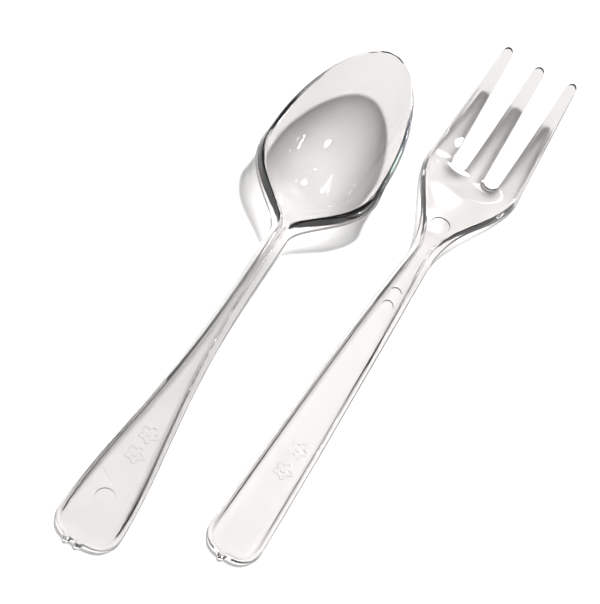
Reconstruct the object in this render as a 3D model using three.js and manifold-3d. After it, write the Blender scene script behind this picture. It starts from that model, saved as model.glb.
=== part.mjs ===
// Clear plastic dessert spoon and three-tined fork, lying side by side as a set.
// Each is one injection moulding: a thin wall with sides that splay outward on their way down.
// At the neck the sides reach deeper and make an open channel, which stiffens the handle.
// Millimetres. The table is z = 0, +Y runs from the handle ends to the heads, +X from spoon to fork.

import * as THREE from 'three';
import { mergeVertices } from 'three/addons/utils/BufferGeometryUtils.js';
import Module from 'manifold-3d';

const wasm = await Module();
wasm.setup();

// The pair as it lies
const forkAside = 24.1;
const forkAhead = 12.5;
const forkTurn = 1.5;
const spoonTurn = 0.2;

// Clear moulded plastic
const plasticColour = 0xf1f1ee;
const plasticRoughness = 0.06;
const plasticOpacity = 0.35;

// Sides of both pieces: how far they splay outward for each millimetre down, and their wall
const sideSplay = 0.4;
const sideWall = 1.0;

// Spoon, widths measured across the top face
const spoonLength = 130;
const spoonWall = 1.15;
const bowlLength = 51.7;
const bowlWidth = 26.1;
const bowlWidestFromTip = 30.5;
const bowlDepth = 7.6;
const bowlDeepestFromTip = 32;
const bowlRimHeight = 8.6;
const bowlTipHeight = 9.6;
const rimLip = 0.6;
const shoulderDepth = 2.6;
const shoulderRun = 5;
const spoonNeckWidth = 1.7;
const spoonNeckHeight = 6.4;
const spoonNeckDepth = 3.4;
const spoonEndWidth = 11.9;
const spoonEndThickness = 1.7;
const spoonEndRound = 5;
const spoonFlareFromEnd = 78;

// Fork, widths measured across the top face
const forkLength = 134.3;
const forkWall = 1.5;
const headWidth = 20.2;
const headTipWidth = 17.2;
const headShoulderFromTip = 28.9;
const headDish = 0.75;
const rootHeight = 2.35;
const rootThickness = 2.0;
const tipHeight = 9.8;
const tipThickness = 1.0;
const slotDepth = 29.9;
const slotRootWidth = 3.4;
const slotMouthWidth = 5.3;
const middleTineRootWidth = 4.4;
const middleTineTipWidth = 2.65;
const tineTipRound = 1.7;
const forkNeckFromTip = 54.7;
const forkNeckWidth = 2.9;
const forkNeckHeight = 4.5;
const forkNeckDepth = 3.2;
const forkChannelFromEnd = 38;
const palmFromTip = 42;
const forkEndWidth = 9.8;
const forkEndThickness = 1.7;
const forkEndRound = 5;

// Bends of the long curves, as powers: a higher one holds a curve level for longer
const handleRiseBend = 1.8;
const bowlFrontBend = 2;
const bowlFrontRoot = 1.75;
const bowlBackBend = 1.6;
const floorFrontBend = 2.1;
const floorBackBend = 1.3;
const floorAcrossBend = 2.5;
const spoonFlareBend = 1.7;
const spoonDeepenBend = 1.3;
const tineRiseBend = 1.6;
const handleEndBend = 2.3;

// The fork's handle widens at once beside the neck and more slowly after that
const forkFlareStart = 0.005;
const forkFlareSpread = 1.2;

// Marks of the mould: ejector pins leave round dimples, the gate leaves small broken nubs
const pinMarkDepth = 0.15;
const pinMarkDiameter = 4;
const smallMarkDiameter = 2.3;
const spoonMarkFromEnd = 9.5;
const palmMarkFromTip = 46.1;
const smallMarksFromTip = [66.8, 70.4];
const nubWidth = 1.7;
const nubThickness = 0.9;
const nubRoot = 1.5;
const nubLift = 0.3;
const nubEdge = [[-0.76, -0.3], [-0.34, -1.0], [0.17, -0.6], [0.6, -0.75]];
const spoonNubPlaces = [-2.2, 0.2];
const forkNubPlaces = [-0.5];

// Fineness of the faceted surfaces
const stationStep = 2.6;
const roundSteps = 7;
const headSteps = 15;
const acrossSteps = 5;
const markSides = 24;
const curveSegments = 8;

// Narrowest half widths at which a tip and a handle end close off
const tipHalfLeast = 0.4;
const endHalfLeast = 0.8;

// In a narrow section the lip, side wall and web keep to these shares of the half width
const lipShare = 0.3;
const wallShare = 0.4;
const webLeastShare = 0.25;
const webMostShare = 0.97;

const clamp01 = (t) => Math.min(Math.max(t, 0), 1);
const mix = (a, b, t) => a + (b - a) * t;

// Goes from 0 to 1 and is level at both ends
function ease(t) {
  const s = clamp01(t);
  return s * s * (3 - 2 * s);
}

// Quarter of a superellipse: 1 at the middle, 0 at the end
const roundOff = (t, power, root) => (1 - clamp01(t) ** power) ** (1 / root);

// A handle rises fast at its end and is level at the neck
const handleRise = (t) => 1 - (1 - clamp01(t)) ** handleRiseBend;

// Closed body through section loops that all have the same number of points
function loftLoops(loops) {
  const count = loops[0].length;
  const positions = loops.flat(2);
  const index = [];
  for (let row = 0; row < loops.length - 1; row += 1) {
    for (let k = 0; k < count; k += 1) {
      const a = row * count + k;
      const b = row * count + (k + 1) % count;
      index.push(a, b, a + count, b, b + count, a + count);
    }
  }
  [0, loops.length - 1].forEach((row) => {
    const centre = positions.length / 3;
    const sum = loops[row].reduce((total, p) => total.map((v, i) => v + p[i]), [0, 0, 0]);
    positions.push(...sum.map((v) => v / count));
    for (let k = 0; k < count; k += 1) {
      const a = row * count + k;
      const b = row * count + (k + 1) % count;
      index.push(...(row === 0 ? [b, a, centre] : [a, b, centre]));
    }
  });
  const geometry = new THREE.BufferGeometry();
  geometry.setAttribute('position', new THREE.Float32BufferAttribute(positions, 3));
  geometry.setIndex(index);
  return geometry;
}

// One section of a piece at y: over the top from left to right, and back along the underside
function sectionLoop(y, form) {
  const depth = form.sideDepth(y);
  const topHalf = form.topHalf(y);
  const half = topHalf + sideSplay * depth;
  const lip = Math.min(rimLip, topHalf * lipShare);
  const rail = form.edge(y) - depth;
  const railInner = half - Math.min(sideWall, half * wallShare);
  const webWide = Math.max(topHalf + sideSplay * form.wall(y) - sideWall, railInner * webLeastShare);
  const webHalf = Math.min(webWide, railInner * webMostShare);
  const web = (x) => form.top(x, y, half, 0) - form.wall(y);
  const loop = [];
  const add = (x, z) => loop.push([x, y, Math.max(z, 0)]);

  add(-topHalf, form.edge(y));
  for (let k = -acrossSteps; k <= acrossSteps; k += 1) {
    const x = (topHalf - lip) * k / acrossSteps;
    add(x, form.top(x, y, topHalf, lip));
  }
  add(topHalf, form.edge(y));
  add(half, Math.min(rail, web(half)));
  add(railInner, Math.min(rail, web(railInner)));
  for (let k = acrossSteps; k >= -acrossSteps; k -= 1) {
    const x = webHalf * k / acrossSteps;
    add(x, web(x));
  }
  add(-railInner, Math.min(rail, web(railInner)));
  add(-half, Math.min(rail, web(half)));
  return loop;
}

// Stations crowd together where the outline rounds off at the two ends
function stations(length, endRound, headRound) {
  const places = [];
  for (let k = 0; k < roundSteps; k += 1) {
    places.push(endRound * (1 - Math.cos(k / roundSteps * Math.PI / 2)));
  }
  const middle = length - headRound - endRound;
  const middleSteps = Math.ceil(middle / stationStep);
  for (let k = 0; k < middleSteps; k += 1) {
    places.push(endRound + middle * k / middleSteps);
  }
  for (let k = 0; k <= headSteps; k += 1) {
    places.push(length - headRound * (1 - Math.sin(k / headSteps * Math.PI / 2)));
  }
  return places;
}

function solidOf(geometry) {
  geometry.deleteAttribute('normal');
  geometry.deleteAttribute('uv');
  const merged = mergeVertices(geometry, 1e-5);
  const vertProperties = new Float32Array(merged.attributes.position.array);
  const triVerts = new Uint32Array(merged.index.array);
  return new wasm.Manifold(new wasm.Mesh({ numProp: 3, vertProperties, triVerts }));
}

function geometryOf(solid) {
  const mesh = solid.getMesh();
  const geometry = new THREE.BufferGeometry();
  geometry.setAttribute('position', new THREE.BufferAttribute(mesh.vertProperties, 3));
  geometry.setIndex(new THREE.BufferAttribute(mesh.triVerts, 1));
  geometry.computeVertexNormals();
  return geometry;
}

// A shallow round dimple square to the top surface on the axis, as a tool to cut with
function pinMark(form, y, diameter) {
  const radius = diameter / 2;
  const height = (at) => form.top(0, at, form.topHalf(at), rimLip);
  const slope = Math.atan2(height(y + radius) - height(y - radius), diameter);
  const profile = [[0, -pinMarkDepth], [radius, -pinMarkDepth], [radius, 1], [0, 1]];
  const tool = new THREE.LatheGeometry(profile.map((p) => new THREE.Vector2(...p)), markSides);
  tool.rotateX(Math.PI / 2 + slope);
  tool.translate(0, y, height(y));
  return solidOf(tool);
}

// A broken-off stub of the gate, ragged at its end, rooted in the handle's rounded end
function gateNub(form, x) {
  const outline = new THREE.Shape();
  outline.moveTo(-nubWidth / 2, nubRoot);
  nubEdge.forEach((corner) => outline.lineTo(...corner));
  outline.lineTo(nubWidth / 2, nubRoot);
  const nub = new THREE.ExtrudeGeometry(outline, { depth: nubThickness, bevelEnabled: false });
  let y = 0;
  while (form.topHalf(y) < Math.abs(x)) {
    y += 0.05;
  }
  nub.translate(x, y, nubLift);
  return solidOf(nub);
}

// The spoon's form, with y measured from the handle end to the tip of the bowl
const spoonNeck = spoonLength - bowlLength;
const bowlWidest = spoonLength - bowlWidestFromTip;
const bowlDeepest = spoonLength - bowlDeepestFromTip;

const spoonForm = {
  // Half the width of the top face
  topHalf(y) {
    if (y > bowlWidest) {
      const front = roundOff((y - bowlWidest) / bowlWidestFromTip, bowlFrontBend, bowlFrontRoot);
      return Math.max(bowlWidth / 2 * front, tipHalfLeast);
    }
    if (y > spoonNeck) {
      const back = clamp01((bowlWidest - y) / (bowlWidest - spoonNeck)) ** bowlBackBend;
      return mix(spoonNeckWidth / 2, bowlWidth / 2, 0.5 + 0.5 * Math.cos(Math.PI * back));
    }
    const flare = clamp01((spoonFlareFromEnd - y) / (spoonFlareFromEnd - spoonEndRound)) ** spoonFlareBend;
    const handle = mix(spoonNeckWidth / 2, spoonEndWidth / 2, ease(flare));
    return Math.max(handle * roundOff(1 - y / spoonEndRound, handleEndBend, handleEndBend), endHalfLeast);
  },
  // Height of the top face's edge above the table
  edge(y) {
    if (y < spoonNeck) {
      return mix(spoonEndThickness, spoonNeckHeight, handleRise(y / spoonNeck));
    }
    if (y < bowlWidest) {
      return mix(spoonNeckHeight, bowlRimHeight, ease((y - spoonNeck) / (bowlWidest - spoonNeck)));
    }
    return mix(bowlRimHeight, bowlTipHeight, ((y - bowlWidest) / bowlWidestFromTip) ** 2);
  },
  // Depth of the bowl below its rim, on the axis
  hollow(y) {
    if (y > bowlDeepest) {
      return bowlDepth * (1 - clamp01((y - bowlDeepest) / bowlDeepestFromTip) ** floorFrontBend);
    }
    const back = clamp01((bowlDeepest - y) / (bowlDeepest - spoonNeck)) ** floorBackBend;
    return bowlDepth * (0.5 + 0.5 * Math.cos(Math.PI * back));
  },
  wall(y) {
    return mix(spoonEndThickness, spoonWall, ease(y / (2 * spoonEndRound)));
  },
  // How far down the sides reach from the top face's edge
  sideDepth(y) {
    if (y < spoonNeck) {
      return mix(spoonEndThickness, spoonNeckDepth, (y / spoonNeck) ** spoonDeepenBend);
    }
    const shoulderStart = bowlWidest - shoulderRun;
    const shoulder = mix(spoonNeckDepth, shoulderDepth, ease((y - spoonNeck) / (shoulderStart - spoonNeck)));
    return mix(shoulder, spoonWall, ease((y - shoulderStart) / shoulderRun));
  },
  top(x, y, half, lip) {
    const u = Math.min(Math.abs(x) / (half - lip), 1);
    return this.edge(y) - this.hollow(y) * (1 - u ** floorAcrossBend);
  },
};

function spoonGeometry() {
  const places = stations(spoonLength, spoonEndRound, bowlWidestFromTip);
  let solid = solidOf(loftLoops(places.map((y) => sectionLoop(y, spoonForm))));
  solid = solid.subtract(pinMark(spoonForm, spoonMarkFromEnd, pinMarkDiameter));
  spoonNubPlaces.forEach((x) => {
    solid = solid.add(gateNub(spoonForm, x));
  });
  return geometryOf(solid);
}

// The fork's form, with y measured from the handle end to the tips of the tines
const forkNeck = forkLength - forkNeckFromTip;
const headShoulder = forkLength - headShoulderFromTip;
const slotBottom = forkLength - slotDepth;
const palm = forkLength - palmFromTip;

const forkForm = {
  topHalf(y) {
    if (y > headShoulder) {
      return mix(headWidth / 2, headTipWidth / 2, (y - headShoulder) / headShoulderFromTip);
    }
    if (y > forkNeck) {
      return mix(forkNeckWidth / 2, headWidth / 2, ease((y - forkNeck) / (headShoulder - forkNeck)));
    }
    const away = clamp01((forkNeck - y) / (forkNeck - forkEndRound));
    const fullAway = (1 + forkFlareStart) * (1 + forkFlareSpread);
    const widening = fullAway * away * away / ((away + forkFlareStart) * (away + forkFlareSpread));
    const handle = mix(forkNeckWidth / 2, forkEndWidth / 2, widening);
    return Math.max(handle * roundOff(1 - y / forkEndRound, handleEndBend, handleEndBend), endHalfLeast);
  },
  edge(y) {
    if (y < forkNeck) {
      return mix(forkEndThickness, forkNeckHeight, handleRise(y / forkNeck));
    }
    if (y < slotBottom) {
      const down = (y - forkNeck) / (slotBottom - forkNeck);
      return mix(forkNeckHeight, rootHeight, 0.5 - 0.5 * Math.cos(Math.PI * down));
    }
    return mix(rootHeight, tipHeight, ((y - slotBottom) / slotDepth) ** tineRiseBend);
  },
  hollow(y) {
    return headDish * ease((y - forkNeck) / (headShoulder - forkNeck));
  },
  wall(y) {
    if (y < forkNeck) {
      return mix(forkEndThickness, forkWall, ease(y / (2 * forkEndRound)));
    }
    if (y < slotBottom) {
      return mix(forkWall, rootThickness, ease((y - forkNeck) / (slotBottom - forkNeck)));
    }
    return mix(rootThickness, tipThickness, (y - slotBottom) / slotDepth);
  },
  sideDepth(y) {
    if (y < forkNeck) {
      const channel = clamp01((y - forkChannelFromEnd) / (forkNeck - forkChannelFromEnd)) ** 2;
      return mix(forkEndThickness, forkNeckDepth, channel);
    }
    return mix(forkNeckDepth, this.wall(y), ease((y - forkNeck) / (palm - forkNeck)));
  },
  top(x, y, half) {
    return this.edge(y) - this.hollow(y) * (1 - clamp01(Math.abs(x) / half) ** 2);
  },
};

// Half a turn of outline round a tine's tip, from side x0 to side x1
function tineTip(outline, x0, x1) {
  const start = forkLength - tineTipRound;
  outline.lineTo(x0, start);
  outline.absellipse((x0 + x1) / 2, start, Math.abs(x1 - x0) / 2, tineTipRound, 0, Math.PI, false, 0);
}

// What is left of the head when the slots and the corners of the tips are gone, seen from above
function combPlan() {
  const clear = headWidth;
  const rootRadius = slotRootWidth / 2;
  const rootX = middleTineRootWidth / 2 + rootRadius;
  const rootY = slotBottom + rootRadius;
  const innerMouth = middleTineTipWidth / 2;
  const outerMouth = innerMouth + slotMouthWidth;
  const tipSide = headTipWidth / 2 + sideSplay * tipThickness;
  const outline = new THREE.Shape();
  outline.moveTo(-clear, -clear);
  outline.lineTo(clear, -clear);
  outline.lineTo(clear, headShoulder);
  tineTip(outline, tipSide, outerMouth);
  outline.lineTo(rootX + rootRadius, rootY);
  outline.absarc(rootX, rootY, rootRadius, 0, Math.PI, true);
  tineTip(outline, innerMouth, -innerMouth);
  outline.lineTo(-rootX + rootRadius, rootY);
  outline.absarc(-rootX, rootY, rootRadius, 0, Math.PI, true);
  tineTip(outline, -outerMouth, -tipSide);
  outline.lineTo(-clear, headShoulder);
  outline.closePath();
  return outline;
}

function forkGeometry() {
  const places = stations(forkLength, forkEndRound, slotDepth);
  let solid = solidOf(loftLoops(places.map((y) => sectionLoop(y, forkForm))));
  const depth = forkNeckHeight + tipHeight;
  const comb = new THREE.ExtrudeGeometry(combPlan(), { depth, bevelEnabled: false, curveSegments });
  comb.translate(0, 0, -1);
  solid = solid.intersect(solidOf(comb));
  solid = solid.subtract(pinMark(forkForm, forkLength - palmMarkFromTip, pinMarkDiameter));
  smallMarksFromTip.forEach((fromTip) => {
    solid = solid.subtract(pinMark(forkForm, forkLength - fromTip, smallMarkDiameter));
  });
  forkNubPlaces.forEach((x) => {
    solid = solid.add(gateNub(forkForm, x));
  });
  return geometryOf(solid);
}

function clearPlastic() {
  return new THREE.MeshStandardMaterial({
    color: plasticColour,
    roughness: plasticRoughness,
    metalness: 0,
    transparent: true,
    opacity: plasticOpacity,
  });
}

const spoon = new THREE.Mesh(spoonGeometry(), clearPlastic());
spoon.name = 'spoon';
spoon.rotation.z = THREE.MathUtils.degToRad(spoonTurn);

const fork = new THREE.Mesh(forkGeometry(), clearPlastic());
fork.name = 'fork';
fork.position.set(forkAside, forkAhead, 0);
fork.rotation.z = THREE.MathUtils.degToRad(-forkTurn);

// The origin is on the table under the middle of the pair
const cutlery = new THREE.Group();
cutlery.add(spoon, fork);
cutlery.updateMatrixWorld(true);
const box = new THREE.Box3().setFromObject(cutlery, true);
const middle = box.getCenter(new THREE.Vector3());
[spoon, fork].forEach((piece) => {
  piece.position.x -= middle.x;
  piece.position.y -= middle.y;
  piece.position.z -= box.min.z;
});

export default cutlery;
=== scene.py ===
"""Clear plastic dessert spoon and fork on a pale floor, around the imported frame.

The forms are worked out in millimetres, with y from a piece's handle end to its tip, and placed by
the frame's boxes. Each piece is a height field above and below one outline, so every edge is round.
"""

import math

import bpy
import numpy as np
from mathutils import Matrix, Vector
from mathutils.geometry import delaunay_2d_cdt


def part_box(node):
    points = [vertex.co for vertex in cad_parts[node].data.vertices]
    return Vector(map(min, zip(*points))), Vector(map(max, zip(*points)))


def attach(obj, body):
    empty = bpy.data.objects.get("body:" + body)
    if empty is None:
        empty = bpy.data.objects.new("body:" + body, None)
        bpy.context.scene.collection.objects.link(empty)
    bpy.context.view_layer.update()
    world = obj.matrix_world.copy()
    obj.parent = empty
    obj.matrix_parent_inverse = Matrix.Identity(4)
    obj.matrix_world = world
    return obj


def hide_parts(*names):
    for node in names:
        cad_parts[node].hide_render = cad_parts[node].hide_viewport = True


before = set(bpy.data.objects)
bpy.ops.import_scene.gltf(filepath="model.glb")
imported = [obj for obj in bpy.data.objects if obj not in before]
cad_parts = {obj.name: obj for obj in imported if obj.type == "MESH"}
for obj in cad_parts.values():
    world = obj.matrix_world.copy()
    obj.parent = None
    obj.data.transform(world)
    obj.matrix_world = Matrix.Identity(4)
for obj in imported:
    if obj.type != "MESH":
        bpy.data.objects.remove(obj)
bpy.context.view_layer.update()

MM = 0.001

# Sides of both pieces: splay outward for each millimetre down, and their wall
SIDE_SPLAY = 0.4
SIDE_WALL = 1.0

# Rounding of the outer edges, of the slots' edges above and below, and of the creases between faces
EDGE_ROUND = 0.22
SLOT_ROUND_ABOVE = 0.3
SLOT_ROUND_BELOW = 0.25
SIDE_CREASE = 0.5
RAIL_CREASE = 0.4
TABLE_CREASE = 0.06
EDGE_CLEAR = 0.02

# Bends of the handles' curves, as powers, and the half width at which an end closes off
HANDLE_RISE_BEND = 1.8
HANDLE_END_BEND = 2.3
END_HALF_LEAST = 0.8

# Round dimples that the mould's pins leave
RING_DEPTH = 0.28
RING_WALL = 0.12

# Raised rosettes: a line round the petals, and a middle
PETALS = 5
PETAL_RADIUS = 1.5
PETAL_SWING = 0.35
PETAL_LINE = 0.24
MOTIF_MIDDLE = 0.6
MOTIF_HEIGHT = 0.27
MOTIF_WALL = 0.13
MOTIF_REACH = 2.1

# Outline of a broken stub of the gate, its height, and how soon the handle's end drops to it
NUB_ACROSS = (-0.85, -0.8, -0.76, -0.34, 0.17, 0.6, 0.8, 0.85)
NUB_OUTWARD = (0.0, 0.15, 0.3, 0.95, 0.6, 0.75, 0.3, 0.0)
NUB_HEIGHT = 1.2
NUB_RUN = 0.2

# Fineness of the outlines
OUTLINE_STEP = 0.4
EDGE_STEP = 0.2
ARC_POINTS = 25
SIDE_POINTS = 1200
END_POINTS = 900
END_CURVE_POINTS = 400

# Loops of points inside an outline, by their distance from it, and how exact that has to be
RINGS_ABOVE = (0.05, 0.12, 0.22, 0.34, 0.46, 0.6, 0.8, 1.0, 1.2, 1.4, 1.6, 1.9)
RINGS_BELOW = (0.04, 0.1, 0.2, 0.5, 0.85, 1.0, 1.15, 1.35, 1.6, 1.9)
RING_LEAST_SHARE = 0.985
RING_SLACK = 0.004

# The even field of points within the loops, and the finer ones at the marks
FIELD_SPACING = 0.7
ROW_SPACING = FIELD_SPACING * 0.866
FINE_SPACING = 0.075
FINE_CLEAR = 0.1
MARK_OFFSETS = (-0.16, -0.07, -0.03, 0.03, 0.07, 0.16)
MARK_CLEAR = 0.3
MARK_SIDES = 72

# Output kind of the triangulation that keeps the inside only, and the distance at which points merge
INSIDE_ONLY = 1
MERGE_WITHIN = 1e-5

SLOPE_STEP = 0.02
NO_EDGE = 99.0
TINY = 1e-12

# The lamp's light on the floor: bent aside at the edges, gathered just inside them, less in a head
BENT_SHARE = 0.9
BENT_REACH_SIDE = 0.8
BENT_REACH_CUT = 1.0
GATHERED_SHARE = 0.15
GATHERED_INSIDE = 1.9
GATHERED_REACH = 0.45
HANDLE_LIGHT = 1.12
HEAD_LIGHT = 0.76
HEAD_LIGHT_RUN = 12

# Looks, in linear colour
PLASTIC_TINT = (0.712, 0.695, 0.687, 1)
FLOOR_COLOUR = (0.85, 0.85, 0.845, 1)
SKY_STRENGTH = 0.45
LAMP_AWAY = 1.2


def mix(a, b, t):
    return a + (b - a) * t


def clamp01(t):
    return np.clip(t, 0.0, 1.0)


def ease(t):
    """Goes from 0 to 1 and is level at both ends."""
    s = clamp01(t)
    return s * s * (3 - 2 * s)


def fade_in(value, start, run):
    return ease((value - start) / run)


def fade_out(value, end, run):
    return ease((end - value) / run)


def half_wave(t):
    """Goes from 1 to 0 as t goes from 0 to 1, level at both ends."""
    return 0.5 + 0.5 * np.cos(np.pi * t)


def round_off(t, power, root):
    """Quarter of a superellipse: 1 at the middle, 0 at the end."""
    return (1 - clamp01(t) ** power) ** (1 / root)


def handle_rise(t):
    return 1 - (1 - clamp01(t)) ** HANDLE_RISE_BEND


def soft_min(a, b, width):
    h = np.maximum(width - np.abs(a - b), 0) / width
    return np.minimum(a, b) - h * h * width / 4


def soft_max(a, b, width):
    return -soft_min(-a, -b, width)


def quarter_round(d, radius):
    """How far an edge of that radius falls away at distance d from its outline."""
    near = clamp01(1 - d / radius)
    return radius * (1 - np.sqrt(1 - near * near))


def bump(d, reach):
    """1 at no distance, falling off smoothly within that reach."""
    return np.exp(-((d / reach) ** 2))


def uneven(x, y, across, along):
    """A soft irregular pattern; across and along are each (rate, sway, rate of the sway)."""
    first = np.sin(across[0] * x + across[1] * np.sin(across[2] * y))
    return first * np.sin(along[0] * y + along[1] * np.sin(along[2] * x))


class Moulding:
    """What the two forms share; x is 0 on the axis and y is 0 at the handle's end."""

    end_thickness = 1.7
    end_round = 5
    end_thick_run = 2 * end_round
    side_fade = 2

    def half(self, y):
        """Half the width over the splayed sides."""
        return self.top_half(y) + SIDE_SPLAY * self.side_depth(y)

    def web(self, x, y):
        """Height of the underside between the sides."""
        return self.dish(x, y, self.half(y)) - self.wall(y)

    def handle_half(self, widening, y):
        """Half the width of the handle's top face, which rounds off at its end."""
        handle = mix(self.neck_width / 2, self.end_width / 2, widening)
        rounding = round_off(1 - y / self.end_round, HANDLE_END_BEND, HANDLE_END_BEND)
        return np.maximum(handle * rounding, END_HALF_LEAST)

    def handle_edge(self, y):
        return mix(self.end_thickness, self.neck_height, handle_rise(y / self.neck))

    def handle_wall(self, y):
        return mix(self.end_thickness, self.thin_wall, ease(y / self.end_thick_run))

    def off_sides(self, x, y):
        """Fades fine relief out towards the sides."""
        return fade_out(np.abs(x), self.half(y), self.side_fade)


class Spoon(Moulding):
    length = 130
    turn = 0.2
    bowl_length = 51.7
    bowl_width = 26.1
    widest = length - 30.5
    deepest = length - 32
    neck = length - bowl_length
    bowl_depth = 7.6
    rim_height = 8.6
    tip_height = 9.6
    tip_half_least = 0.4
    neck_width = 1.7
    neck_height = 6.4
    neck_depth = 3.4
    shoulder_depth = 2.6
    shoulder_run = 5
    end_width = 11.9
    flare_start = 78
    thin_wall = 1.15
    rim_lip = 0.6
    lip_share = 0.3

    front_bend = 2
    front_root = 1.75
    back_bend = 1.6
    flare_bend = 1.7
    floor_front_bend = 2.1
    floor_back_bend = 1.3
    floor_across_bend = 2.5
    deepen_bend = 1.3

    # x of the nubs, (x, y, radius) of the round marks and (x, y) of the rosettes
    nub_places = (-2.2, 0.2)
    ring_marks = ((0.0, 9.5, 2.0),)
    motif_places = ((0.2, 19.8), (0.4, 24.6))

    # Where the mesh is fine for the flow line: (x, y, radius)
    fine_places = ((-1.9, 13.9, 2.5),)

    # Ripples at the handle's end; each fade is (where it starts or ends, its run)
    ripple_height = 0.06
    ripple_rate = 2.6
    ripple_from = (1.5, 2)
    ripple_to = (13, 5)
    ripple_sway = 0.9
    sway_rates = (0.9, 0.4)
    strength_middle = 0.6
    strength_swing = 0.4
    strength_rate = 1.3
    strength_start = 2.1

    # The flow line curves from the round mark towards the left side
    flow_depth = 0.22
    flow_start = (0.6, 12.2)
    flow_run = 4.5
    flow_climb = 2.6
    flow_bend = 1.3
    flow_half = (0.18, 0.12)
    flow_from = (-4.4, 0.5)
    flow_to = (0.6, 0.5)

    # The bowl's uneven gloss
    gloss_height = 0.01
    gloss = ((3.1, 1.7, 1.9), (2.7, 1.3, 2.3))
    gloss_from = (92, 6)
    gloss_to = (116, 6)
    gloss_aside = (9.5, 3)

    def top_half(self, y):
        """Half the width of the top face."""
        ahead = (y - self.widest) / (self.length - self.widest)
        front = self.bowl_width / 2 * round_off(ahead, self.front_bend, self.front_root)
        back = clamp01((self.widest - y) / (self.widest - self.neck)) ** self.back_bend
        shoulder = mix(self.neck_width / 2, self.bowl_width / 2, half_wave(back))
        flare = clamp01((self.flare_start - y) / (self.flare_start - self.end_round))
        handle = self.handle_half(ease(flare**self.flare_bend), y)
        behind = np.where(y > self.neck, shoulder, handle)
        return np.where(y > self.widest, np.maximum(front, self.tip_half_least), behind)

    def edge(self, y):
        """Height of the top face's edge above the table."""
        rise = ease((y - self.neck) / (self.widest - self.neck))
        shoulder = mix(self.neck_height, self.rim_height, rise)
        along = clamp01((y - self.widest) / (self.length - self.widest))
        front = mix(self.rim_height, self.tip_height, along**2)
        return np.where(y < self.neck, self.handle_edge(y), np.where(y < self.widest, shoulder, front))

    def hollow(self, y):
        """Depth of the bowl below its rim, on the axis."""
        ahead = clamp01((y - self.deepest) / (self.length - self.deepest))
        front = 1 - ahead**self.floor_front_bend
        back = clamp01((self.deepest - y) / (self.deepest - self.neck)) ** self.floor_back_bend
        return self.bowl_depth * np.where(y > self.deepest, front, half_wave(back))

    def wall(self, y):
        return self.handle_wall(y)

    def side_depth(self, y):
        """How far down the sides reach from the top face's edge."""
        handle = mix(self.end_thickness, self.neck_depth, clamp01(y / self.neck) ** self.deepen_bend)
        start = self.widest - self.shoulder_run
        rise = ease((y - self.neck) / (start - self.neck))
        shoulder = mix(self.neck_depth, self.shoulder_depth, rise)
        bowl = mix(shoulder, self.thin_wall, ease((y - start) / self.shoulder_run))
        return np.where(y < self.neck, handle, bowl)

    def dish(self, x, y, half):
        u = clamp01(np.abs(x) / half)
        return self.edge(y) - self.hollow(y) * (1 - u**self.floor_across_bend)

    def face(self, x, y):
        """Height of the top face."""
        half = self.top_half(y)
        return self.dish(x, y, half - np.minimum(self.rim_lip, half * self.lip_share))

    def relief(self, x, y):
        """Ripples at the handle's end, a flow line from the round mark, and the bowl's uneven gloss."""
        near_end = fade_in(y, *self.ripple_from) * fade_out(y, *self.ripple_to) * self.off_sides(x, y)
        sway = self.ripple_sway * np.sin(self.sway_rates[0] * x + self.sway_rates[1] * y)
        swing = self.strength_swing * np.sin(self.strength_rate * x + self.strength_start)
        ripples = near_end * (self.strength_middle + swing) * np.sin(self.ripple_rate * y + sway)

        flow_x, flow_y = self.flow_start
        line = flow_y + self.flow_climb * clamp01((flow_x - x) / self.flow_run) ** self.flow_bend
        flow = fade_out(np.abs(y - line), *self.flow_half)
        flow = flow * fade_in(x, *self.flow_from) * fade_out(x, *self.flow_to)

        in_bowl = fade_in(y, *self.gloss_from) * fade_out(y, *self.gloss_to)
        mottle = in_bowl * fade_out(np.abs(x), *self.gloss_aside) * uneven(x, y, *self.gloss)
        return self.ripple_height * ripples - self.flow_depth * flow + self.gloss_height * mottle

    def outline(self):
        """The closed outline, its moulded sides, and its cut edges, of which there are none."""
        side = side_line(self, self.length)
        loop = np.vstack([end_line(self), side, mirrored(side)])
        return loop, loop, None


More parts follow.
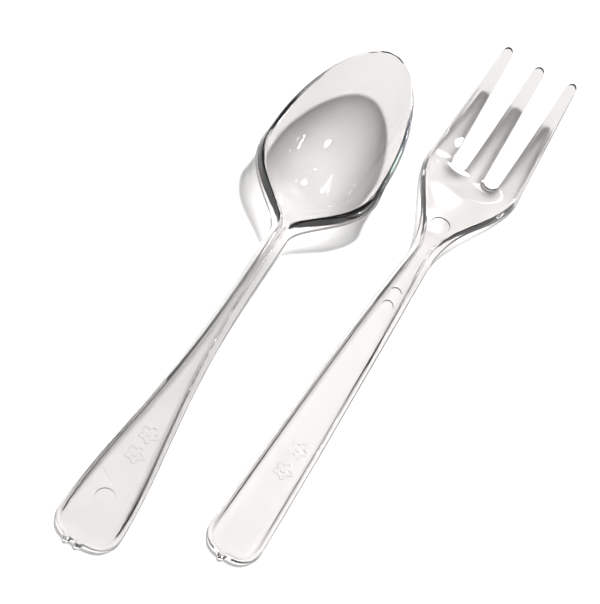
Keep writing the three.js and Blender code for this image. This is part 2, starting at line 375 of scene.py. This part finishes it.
class Fork(Moulding):
    length = 134.3
    turn = -1.5
    neck = length - 54.7
    shoulder = length - 28.9
    slot_bottom = length - 29.9
    palm = length - 42
    head_width = 20.2
    tip_width = 17.2
    dish_depth = 0.75
    root_height = 2.35
    root_thickness = 2.0
    tip_height = 9.8
    tip_thickness = 1.0
    slot_root_width = 3.4
    slot_mouth_width = 5.3
    middle_root_width = 4.4
    middle_tip_width = 2.65
    tip_round = 1.7
    neck_width = 2.9
    neck_height = 4.5
    neck_depth = 3.2
    channel_start = 38
    thin_wall = 1.5
    end_width = 9.8

    tine_rise_bend = 1.6
    flare_at_once = 0.005
    flare_spread = 1.2

    # x of the nubs, (x, y, radius) of the round marks and (x, y) of the rosettes
    nub_places = (-0.5,)
    ring_marks = ((0.0, length - 46.1, 2.0), (0.0, length - 66.8, 1.15), (0.0, length - 70.4, 1.15))
    motif_places = ((0.6, 20.4), (0.9, 25.7))
    fine_places = ()

    # The handle's uneven gloss; each fade is (where it starts or ends, its run)
    gloss_height = 0.012
    gloss = ((1.4, 1.2, 0.5), (0.8, 1.0, 1.1))
    gloss_from = (10, 8)
    gloss_to = (neck, 12)

    def top_half(self, y):
        """Half the width of the top face."""
        ahead = (y - self.shoulder) / (self.length - self.shoulder)
        head = mix(self.head_width / 2, self.tip_width / 2, ahead)
        grow = ease((y - self.neck) / (self.shoulder - self.neck))
        palm = mix(self.neck_width / 2, self.head_width / 2, grow)
        away = clamp01((self.neck - y) / (self.neck - self.end_round))
        full = (1 + self.flare_at_once) * (1 + self.flare_spread)
        widening = full * away * away / ((away + self.flare_at_once) * (away + self.flare_spread))
        handle = self.handle_half(widening, y)
        return np.where(y > self.shoulder, head, np.where(y > self.neck, palm, handle))

    def by_zone(self, y, handle, palm, tines):
        return np.where(y < self.neck, handle, np.where(y < self.slot_bottom, palm, tines))

    def along_tines(self, y):
        return clamp01((y - self.slot_bottom) / (self.length - self.slot_bottom))

    def edge(self, y):
        """Height of the top face's edge above the table."""
        down = clamp01((y - self.neck) / (self.slot_bottom - self.neck))
        palm = mix(self.root_height, self.neck_height, half_wave(down))
        tines = mix(self.root_height, self.tip_height, self.along_tines(y) ** self.tine_rise_bend)
        return self.by_zone(y, self.handle_edge(y), palm, tines)

    def hollow(self, y):
        return self.dish_depth * ease((y - self.neck) / (self.shoulder - self.neck))

    def wall(self, y):
        grow = ease((y - self.neck) / (self.slot_bottom - self.neck))
        palm = mix(self.thin_wall, self.root_thickness, grow)
        tines = mix(self.root_thickness, self.tip_thickness, self.along_tines(y))
        return self.by_zone(y, self.handle_wall(y), palm, tines)

    def side_depth(self, y):
        """How far down the sides reach from the top face's edge."""
        channel = clamp01((y - self.channel_start) / (self.neck - self.channel_start)) ** 2
        handle = mix(self.end_thickness, self.neck_depth, channel)
        fading = ease((y - self.neck) / (self.palm - self.neck))
        return np.where(y < self.neck, handle, mix(self.neck_depth, self.wall(y), fading))

    def dish(self, x, y, half):
        return self.edge(y) - self.hollow(y) * (1 - clamp01(np.abs(x) / half) ** 2)

    def face(self, x, y):
        """Height of the top face."""
        return self.dish(x, y, self.top_half(y))

    def relief(self, x, y):
        """The handle's slightly uneven gloss."""
        on_handle = fade_in(y, *self.gloss_from) * fade_out(y, *self.gloss_to) * self.off_sides(x, y)
        return self.gloss_height * on_handle * uneven(x, y, *self.gloss)

    def tip_arc(self, x0, x1):
        """Half an ellipse round a tine's tip, from x0 to x1."""
        turn = np.linspace(0, np.pi, ARC_POINTS)
        x = (x0 + x1) / 2 + (x0 - x1) / 2 * np.cos(turn)
        return np.stack([x, self.length + self.tip_round * (np.sin(turn) - 1)], -1)

    def outline(self):
        """The closed outline, its moulded sides with the handle's end, and its cut edges."""
        start = self.length - self.tip_round
        inner = self.middle_tip_width / 2
        outer = inner + self.slot_mouth_width
        radius = self.slot_root_width / 2
        root_x = self.middle_root_width / 2 + radius
        turn = np.linspace(0, np.pi, ARC_POINTS)
        root_y = self.slot_bottom + radius * (1 - np.sin(turn))
        root = np.stack([root_x + radius * np.cos(turn), root_y], -1)
        right = np.vstack([self.tip_arc(float(self.half(np.array(start))), outer), root])
        cuts = np.vstack([right, self.tip_arc(inner, -inner), mirrored(right)])
        side = side_line(self, start)
        end = end_line(self)
        sides = np.vstack([mirrored(side), end, side])
        loop = np.vstack([end, side, cuts, mirrored(side)])
        return loop, sides, cuts


def mirrored(points):
    return (points * np.array([-1.0, 1.0]))[::-1]


def side_line(form, y_end):
    """The right side's outline from just past the rounded handle end up to y_end."""
    t = np.linspace(0, 1, SIDE_POINTS)
    y = mix(form.end_round, y_end, 0.5 - 0.5 * np.cos(np.pi * t))
    line = np.stack([form.half(y), y], -1)
    if y_end == form.length:
        line = np.vstack([line, [0.0, y_end]])
    return line


def end_line(form):
    """The handle's rounded end from left to right, with the ragged nubs of the gate."""
    y = form.end_round * (1 - np.cos(np.linspace(0, np.pi / 2, END_CURVE_POINTS)))
    half = form.half(y)
    x = np.linspace(-half[-1], half[-1], END_POINTS)
    end = np.interp(np.abs(x), half, y)
    for place in form.nub_places:
        end = end - np.interp(x - place, NUB_ACROSS, NUB_OUTWARD, left=0, right=0)
    return np.stack([x, end], -1)


def resampled(points, step, closed):
    """The same line with its points evenly spaced."""
    line = np.vstack([points, points[:1]]) if closed else points
    lengths = np.hypot(*np.diff(line, axis=0).T)
    along = np.concatenate([[0], np.cumsum(lengths)])
    count = max(int(round(along[-1] / step)), 3)
    at = np.linspace(0, along[-1], count + 1)
    at = at[:-1] if closed else at
    return np.stack([np.interp(at, along, line[:, 0]), np.interp(at, along, line[:, 1])], -1)


def distance(points, line, closed):
    """From each point to the nearest place on a line of short, even steps."""
    count = len(line)
    batch = 4000
    square = (line**2).sum(1)
    out = np.empty(len(points))
    for i in range(0, len(points), batch):
        p = points[i : i + batch]
        nearest = (square - 2 * p @ line.T).argmin(1)
        best = np.full(len(p), np.inf)
        for shift in (-1, 0):
            first = nearest + shift
            first = first % count if closed else np.clip(first, 0, count - 2)
            a = line[first]
            step = line[(first + 1) % count] - a
            t = clamp01(((p - a) * step).sum(1) / np.maximum((step**2).sum(1), TINY))
            best = np.minimum(best, np.hypot(*(p - a - t[:, None] * step).T))
        out[i : i + batch] = best
    return out


def motif(x, y):
    """A small bare rosette in relief: 1 on its petals' line and its middle, 0 away from them."""
    r = np.hypot(x, y)
    petal = PETAL_RADIUS + PETAL_SWING * np.cos(PETALS * np.arctan2(y, x))
    line = fade_out(np.abs(r - petal), PETAL_LINE, MOTIF_WALL)
    return np.maximum(line, fade_out(r, MOTIF_MIDDLE, MOTIF_WALL))


def along_loop(loop):
    """Unit direction of a closed loop at each of its points."""
    along = np.roll(loop, -1, axis=0) - np.roll(loop, 1, axis=0)
    return along / np.maximum(np.hypot(*along.T), TINY)[:, None]


class Skin:
    """The upper and lower surface of a piece above its outline."""

    def __init__(self, form):
        self.form = form
        loop, sides, cuts = form.outline()
        self.closed_sides = sides is loop
        self.loop = resampled(loop, OUTLINE_STEP, True)
        self.sides = resampled(sides, EDGE_STEP, self.closed_sides)
        self.cuts = None if cuts is None else resampled(cuts, EDGE_STEP, False)

    def distances(self, points):
        """To the moulded sides and to the cut edges."""
        side = distance(points, self.sides, self.closed_sides)
        if self.cuts is None:
            return side, np.full(len(points), NO_EDGE)
        return side, distance(points, self.cuts, False)

    def top(self, points):
        form = self.form
        x, y = points.T
        side, cut = self.distances(points)
        rail = form.edge(y) - form.side_depth(y)
        z = form.face(x, y)
        for mx, my, radius in form.ring_marks:
            z = z - RING_DEPTH * fade_out(np.hypot(x - mx, y - my), radius + RING_WALL / 2, RING_WALL)
        for mx, my in form.motif_places:
            z = z + MOTIF_HEIGHT * motif(x - mx, y - my)
        z = z + form.relief(x, y)
        z = soft_min(z, rail + EDGE_ROUND + EDGE_CLEAR + side / SIDE_SPLAY, SIDE_CREASE)
        z = mix(z, np.minimum(z, NUB_HEIGHT), clamp01(-y / NUB_RUN))
        return z - quarter_round(cut, SLOT_ROUND_ABOVE)

    def bottom(self, points):
        form = self.form
        x, y = points.T
        side, cut = self.distances(points)
        rail = form.edge(y) - form.side_depth(y)
        inner = rail + soft_max((side - SIDE_WALL) / SIDE_SPLAY, 0 * side, RAIL_CREASE)
        z = soft_min(form.web(x, y), inner, RAIL_CREASE)
        z = soft_max(z, 0 * z, TABLE_CREASE)
        return z + quarter_round(side, EDGE_ROUND) + quarter_round(cut, SLOT_ROUND_BELOW)

    def ring_points(self, steps):
        """Loops inside the outline, without the places where another side of it is nearer."""
        along = along_loop(self.loop)
        inward = np.stack([-along[:, 1], along[:, 0]], -1)
        kept = []
        edges = []
        base = len(self.loop)
        for step in steps:
            ring = self.loop + inward * step
            fits = distance(ring, self.loop, True) > step * RING_LEAST_SHARE - RING_SLACK
            index = np.full(len(ring), -1)
            index[fits] = base + np.arange(fits.sum())
            following = np.roll(index, -1)
            edges += [(int(a), int(b)) for a, b in zip(index, following) if a >= 0 and b >= 0]
            kept.append(ring[fits])
            base += int(fits.sum())
        return np.vstack(kept), edges

    def field_points(self, reach):
        """An even field of points more than reach inside the outline, finer at the marks."""
        low, high = self.loop.min(0), self.loop.max(0)
        xs = np.arange(low[0], high[0], FIELD_SPACING)
        ys = np.arange(low[1], high[1], ROW_SPACING)
        gx, gy = np.meshgrid(xs, ys)
        gx = gx + (np.arange(len(ys)) % 2)[:, None] * FIELD_SPACING / 2
        points = np.stack([gx.ravel(), gy.ravel()], -1)
        fine = []
        turn = np.linspace(0, 2 * np.pi, MARK_SIDES + 1)[:-1]
        circle = np.stack([np.cos(turn), np.sin(turn)], -1)
        for mx, my, radius in self.form.ring_marks:
            r = np.hypot(points[:, 0] - mx, points[:, 1] - my)
            points = points[np.abs(r - radius) > MARK_CLEAR]
            fine += [np.array([mx, my]) + (radius + offset) * circle for offset in MARK_OFFSETS]
        motifs = [(mx, my, MOTIF_REACH) for mx, my in self.form.motif_places]
        for mx, my, radius in [*motifs, *self.form.fine_places]:
            r = np.hypot(points[:, 0] - mx, points[:, 1] - my)
            points = points[r > radius + FINE_CLEAR]
            steps = np.arange(-radius, radius + FINE_SPACING / 2, FINE_SPACING)
            fx, fy = np.meshgrid(steps, steps)
            near = np.hypot(fx, fy) < radius
            fine.append(np.stack([mx + fx[near], my + fy[near]], -1))
        points = np.vstack([points[inside(points, self.loop)], *fine])
        return points[distance(points, self.loop, True) > reach]

    def triangles(self, steps):
        """Places, triangles between them, and the place of each point of the outline."""
        rings, edges = self.ring_points(steps)
        field = self.field_points(max(steps) + FIELD_SPACING / 2)
        points = np.vstack([self.loop, rings, field])
        count = len(self.loop)
        places = [Vector(p) for p in points]
        outline = [list(range(count))]
        result = delaunay_2d_cdt(places, edges, outline, INSIDE_ONLY, MERGE_WITHIN)
        verts, _, faces, origin = result[:4]
        place = np.full(count, -1)
        for k, sources in enumerate(origin):
            for source in sources:
                if source < count:
                    place[source] = k
        return np.array([tuple(v) for v in verts]), np.array([f for f in faces if len(f) == 3]), place


def inside(points, loop):
    """Whether each point is inside a closed loop."""
    x, y = points.T
    result = np.zeros(len(points), bool)
    for (x0, y0), (x1, y1) in zip(loop, np.roll(loop, -1, axis=0)):
        if y0 == y1:
            continue
        crosses = (y0 > y) != (y1 > y)
        result ^= crosses & (x < (x1 - x0) * (y - y0) / (y1 - y0) + x0)
    return result


def normals(height, points, sign):
    """Exact normals of a height function, upward for sign 1 and downward for -1."""
    dx = np.array([SLOPE_STEP, 0.0])
    dy = np.array([0.0, SLOPE_STEP])
    gx = (height(points + dx) - height(points - dx)) / (2 * SLOPE_STEP)
    gy = (height(points + dy) - height(points - dy)) / (2 * SLOPE_STEP)
    n = np.stack([-gx, -gy, np.ones(len(points))], -1) * sign
    return n / np.linalg.norm(n, axis=1)[:, None]


def lamp_share(skin, points):
    """Light that meets a rounded edge is bent aside, and some of it gathers just inside the edge."""
    side, cut = skin.distances(points)
    gathered = bump(np.minimum(side, cut) - GATHERED_INSIDE, GATHERED_REACH)
    bent = np.maximum(bump(side, BENT_REACH_SIDE), bump(cut, BENT_REACH_CUT))
    in_head = fade_in(points[:, 1], skin.form.neck, HEAD_LIGHT_RUN)
    share = 1 - BENT_SHARE * bent + GATHERED_SHARE * gathered
    return share * mix(HANDLE_LIGHT, HEAD_LIGHT, in_head)


def laid_in_box(name, turn, verts, vertex_normals):
    """Turned about the upright, laid against the node's box and kept within it."""
    turn = math.radians(turn)
    sine, cosine = math.sin(turn), math.cos(turn)
    spin = np.array([[cosine, -sine, 0], [sine, cosine, 0], [0, 0, 1]])
    verts = verts @ spin.T
    low, high = (np.array(corner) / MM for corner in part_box(name))
    for axis in (0, 1):
        least, most = verts[:, axis].min(), verts[:, axis].max()
        share = min((high[axis] - low[axis]) / (most - least), 1.0)
        verts[:, axis] = high[axis] + (verts[:, axis] - most) * share
    return verts, vertex_normals @ spin.T


def piece(name, form, material):
    """The smooth piece that stands for a CAD node, laid over the node's box."""
    skin = Skin(form)
    top_at, top_faces, top_place = skin.triangles(RINGS_ABOVE)
    low_at, low_faces, low_place = skin.triangles(RINGS_BELOW)
    top_z = skin.top(top_at)
    low_z = skin.bottom(low_at)
    top_n = normals(skin.top, top_at, 1.0)
    low_n = normals(skin.bottom, low_at, -1.0)

    along = along_loop(skin.loop)
    outward = np.stack([along[:, 1], -along[:, 0], np.zeros(len(along))], -1)
    top_n[top_place] = outward
    low_n[low_place] = outward
    top_z[top_place] = np.maximum(top_z[top_place], low_z[low_place] + EDGE_CLEAR)

    verts = np.vstack([np.column_stack([top_at, top_z]), np.column_stack([low_at, low_z])])
    shift = len(top_at)
    faces = [tuple(f) for f in top_faces] + [tuple(f[::-1] + shift) for f in low_faces]
    count = len(skin.loop)
    for i in range(count):
        j = (i + 1) % count
        faces.append((top_place[i], shift + low_place[i], shift + low_place[j], top_place[j]))
    verts, vertex_normals = laid_in_box(name, form.turn, verts, np.vstack([top_n, low_n]))

    mesh = bpy.data.meshes.new(name + "_clear")
    mesh.from_pydata((verts * MM).tolist(), [], [tuple(int(i) for i in f) for f in faces])
    mesh.validate()
    mesh.update()
    mesh.polygons.foreach_set("use_smooth", [True] * len(mesh.polygons))
    mesh.normals_split_custom_set_from_vertices(vertex_normals.tolist())
    share = mesh.attributes.new("lamp_share", "FLOAT", "POINT")
    share.data.foreach_set("value", lamp_share(skin, np.vstack([top_at, low_at])))
    mesh.materials.append(material)
    obj = bpy.data.objects.new(name + "_clear", mesh)
    bpy.context.scene.collection.objects.link(obj)
    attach(obj, "root")
    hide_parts(name)


def clear_plastic():
    material = bpy.data.materials.new("clear_plastic")
    material.use_nodes = True
    shader = material.node_tree.nodes["Principled BSDF"]
    shader.inputs["Base Color"].default_value = PLASTIC_TINT
    shader.inputs["Roughness"].default_value = 0.03
    shader.inputs["IOR"].default_value = 1.59
    shader.inputs["Transmission Weight"].default_value = 1.0
    lamp_light_through(material, shader)
    return material


def grey_ramp(nodes, stops):
    """A colour ramp of greys, with a stop for each (position, grey)."""
    ramp = nodes.new("ShaderNodeValToRGB")
    elements = ramp.color_ramp.elements
    while len(elements) < len(stops):
        elements.new(0.5)
    for element, (position, grey) in zip(elements, stops):
        element.position = position
        element.color = (grey, grey, grey, 1)
    return ramp


def lamp_light_through(material, shader):
    """Lets the lamp through the plastic, less where its light grazes the surface and near edges."""
    nodes, links = material.node_tree.nodes, material.node_tree.links
    weight = nodes.new("ShaderNodeLayerWeight")
    weight.inputs["Blend"].default_value = 0.5
    ramp = grey_ramp(nodes, ((0.0, 0.58), (0.45, 0.55), (0.75, 0.28), (0.95, 0.03)))
    links.new(weight.outputs["Facing"], ramp.inputs[0])
    share = nodes.new("ShaderNodeAttribute")
    share.attribute_name = "lamp_share"
    product = nodes.new("ShaderNodeVectorMath")
    product.operation = "SCALE"
    links.new(ramp.outputs["Color"], product.inputs[0])
    links.new(share.outputs["Fac"], product.inputs["Scale"])
    through = nodes.new("ShaderNodeBsdfTransparent")
    links.new(product.outputs[0], through.inputs["Color"])
    path = nodes.new("ShaderNodeLightPath")
    both = nodes.new("ShaderNodeMixShader")
    links.new(path.outputs["Is Shadow Ray"], both.inputs[0])
    links.new(shader.outputs[0], both.inputs[1])
    links.new(through.outputs[0], both.inputs[2])
    links.new(both.outputs[0], nodes["Material Output"].inputs["Surface"])


def pale_floor():
    reach = 3.0
    below_table = -0.00005
    corners = [(-reach, -reach, 0), (reach, -reach, 0), (reach, reach, 0), (-reach, reach, 0)]
    mesh = bpy.data.meshes.new("floor")
    mesh.from_pydata(corners, [], [(0, 1, 2, 3)])
    floor = bpy.data.objects.new("floor", mesh)
    floor.location.z = below_table
    bpy.context.scene.collection.objects.link(floor)
    material = bpy.data.materials.new("pale_floor")
    material.use_nodes = True
    shader = material.node_tree.nodes["Principled BSDF"]
    shader.inputs["Base Color"].default_value = FLOOR_COLOUR
    shader.inputs["Roughness"].default_value = 0.9
    shader.inputs["Specular IOR Level"].default_value = 0.1
    mesh.materials.append(material)


def area_light(name, azimuth, elevation, size, power):
    """Aimed at the origin; the azimuth is counted from +Y towards -X. Degrees, metres and watts."""
    a, e = math.radians(azimuth), math.radians(elevation)
    way = Vector((-math.sin(a) * math.cos(e), math.cos(a) * math.cos(e), math.sin(e)))
    data = bpy.data.lights.new(name, "AREA")
    data.shape = "DISK"
    data.size = size
    data.energy = power
    light = bpy.data.objects.new(name, data)
    light.location = way * LAMP_AWAY
    light.rotation_mode = "QUATERNION"
    light.rotation_quaternion = (-way).to_track_quat("-Z", "Y")
    bpy.context.scene.collection.objects.link(light)


def studio():
    """A sky that is dark low down and pale above, a key lamp behind the heads and two glints."""
    world = bpy.data.worlds.new("studio")
    world.use_nodes = True
    nodes, links = world.node_tree.nodes, world.node_tree.links
    background = nodes["Background"]
    coords = nodes.new("ShaderNodeTexCoord")
    split = nodes.new("ShaderNodeSeparateXYZ")
    ramp = grey_ramp(nodes, ((0.3, 0.0), (1.0, 1.0)))
    links.new(coords.outputs["Generated"], split.inputs[0])
    links.new(split.outputs["Z"], ramp.inputs[0])
    links.new(ramp.outputs["Color"], background.inputs["Color"])
    background.inputs["Strength"].default_value = SKY_STRENGTH
    bpy.context.scene.world = world
    area_light("key", azimuth=-3, elevation=51, size=0.12, power=19.5)
    area_light("upper_glint", azimuth=-13, elevation=66, size=0.08, power=1.5)
    area_light("side_glint", azimuth=-52, elevation=29, size=0.05, power=0.4)


def camera():
    """At the photograph's angle, rolled so that both handles point down to the left."""
    elevation, azimuth, roll = (math.radians(v) for v in (56.66, 9.43, 21.65))
    away = 413.7
    aim = Vector((-1.0, -6.69, 5.0)) * MM
    pixels_per_mm = 5.08
    pixels_high = 604
    sensor = 36
    right = Vector((math.cos(azimuth), math.sin(azimuth), 0))
    ahead = Vector((-math.sin(azimuth), math.cos(azimuth), 0))
    up = ahead * math.sin(elevation) + Vector((0, 0, math.cos(elevation)))
    back = -ahead * math.cos(elevation) + Vector((0, 0, math.sin(elevation)))
    sine, cosine = math.sin(roll), math.cos(roll)
    turn = Matrix((right * cosine + up * sine, up * cosine - right * sine, back)).transposed()
    data = bpy.data.cameras.new("camera")
    data.sensor_width = sensor
    data.lens = pixels_per_mm * away * sensor / pixels_high
    data.clip_start = 0.01
    obj = bpy.data.objects.new("camera", data)
    obj.matrix_world = Matrix.Translation(aim + back * away * MM) @ turn.to_4x4()
    bpy.context.scene.collection.objects.link(obj)
    bpy.context.scene.camera = obj


plastic = clear_plastic()
piece("spoon", Spoon(), plastic)
piece("fork", Fork(), plastic)
pale_floor()
studio()
camera()
bpy.context.scene.view_settings.view_transform = "Standard"
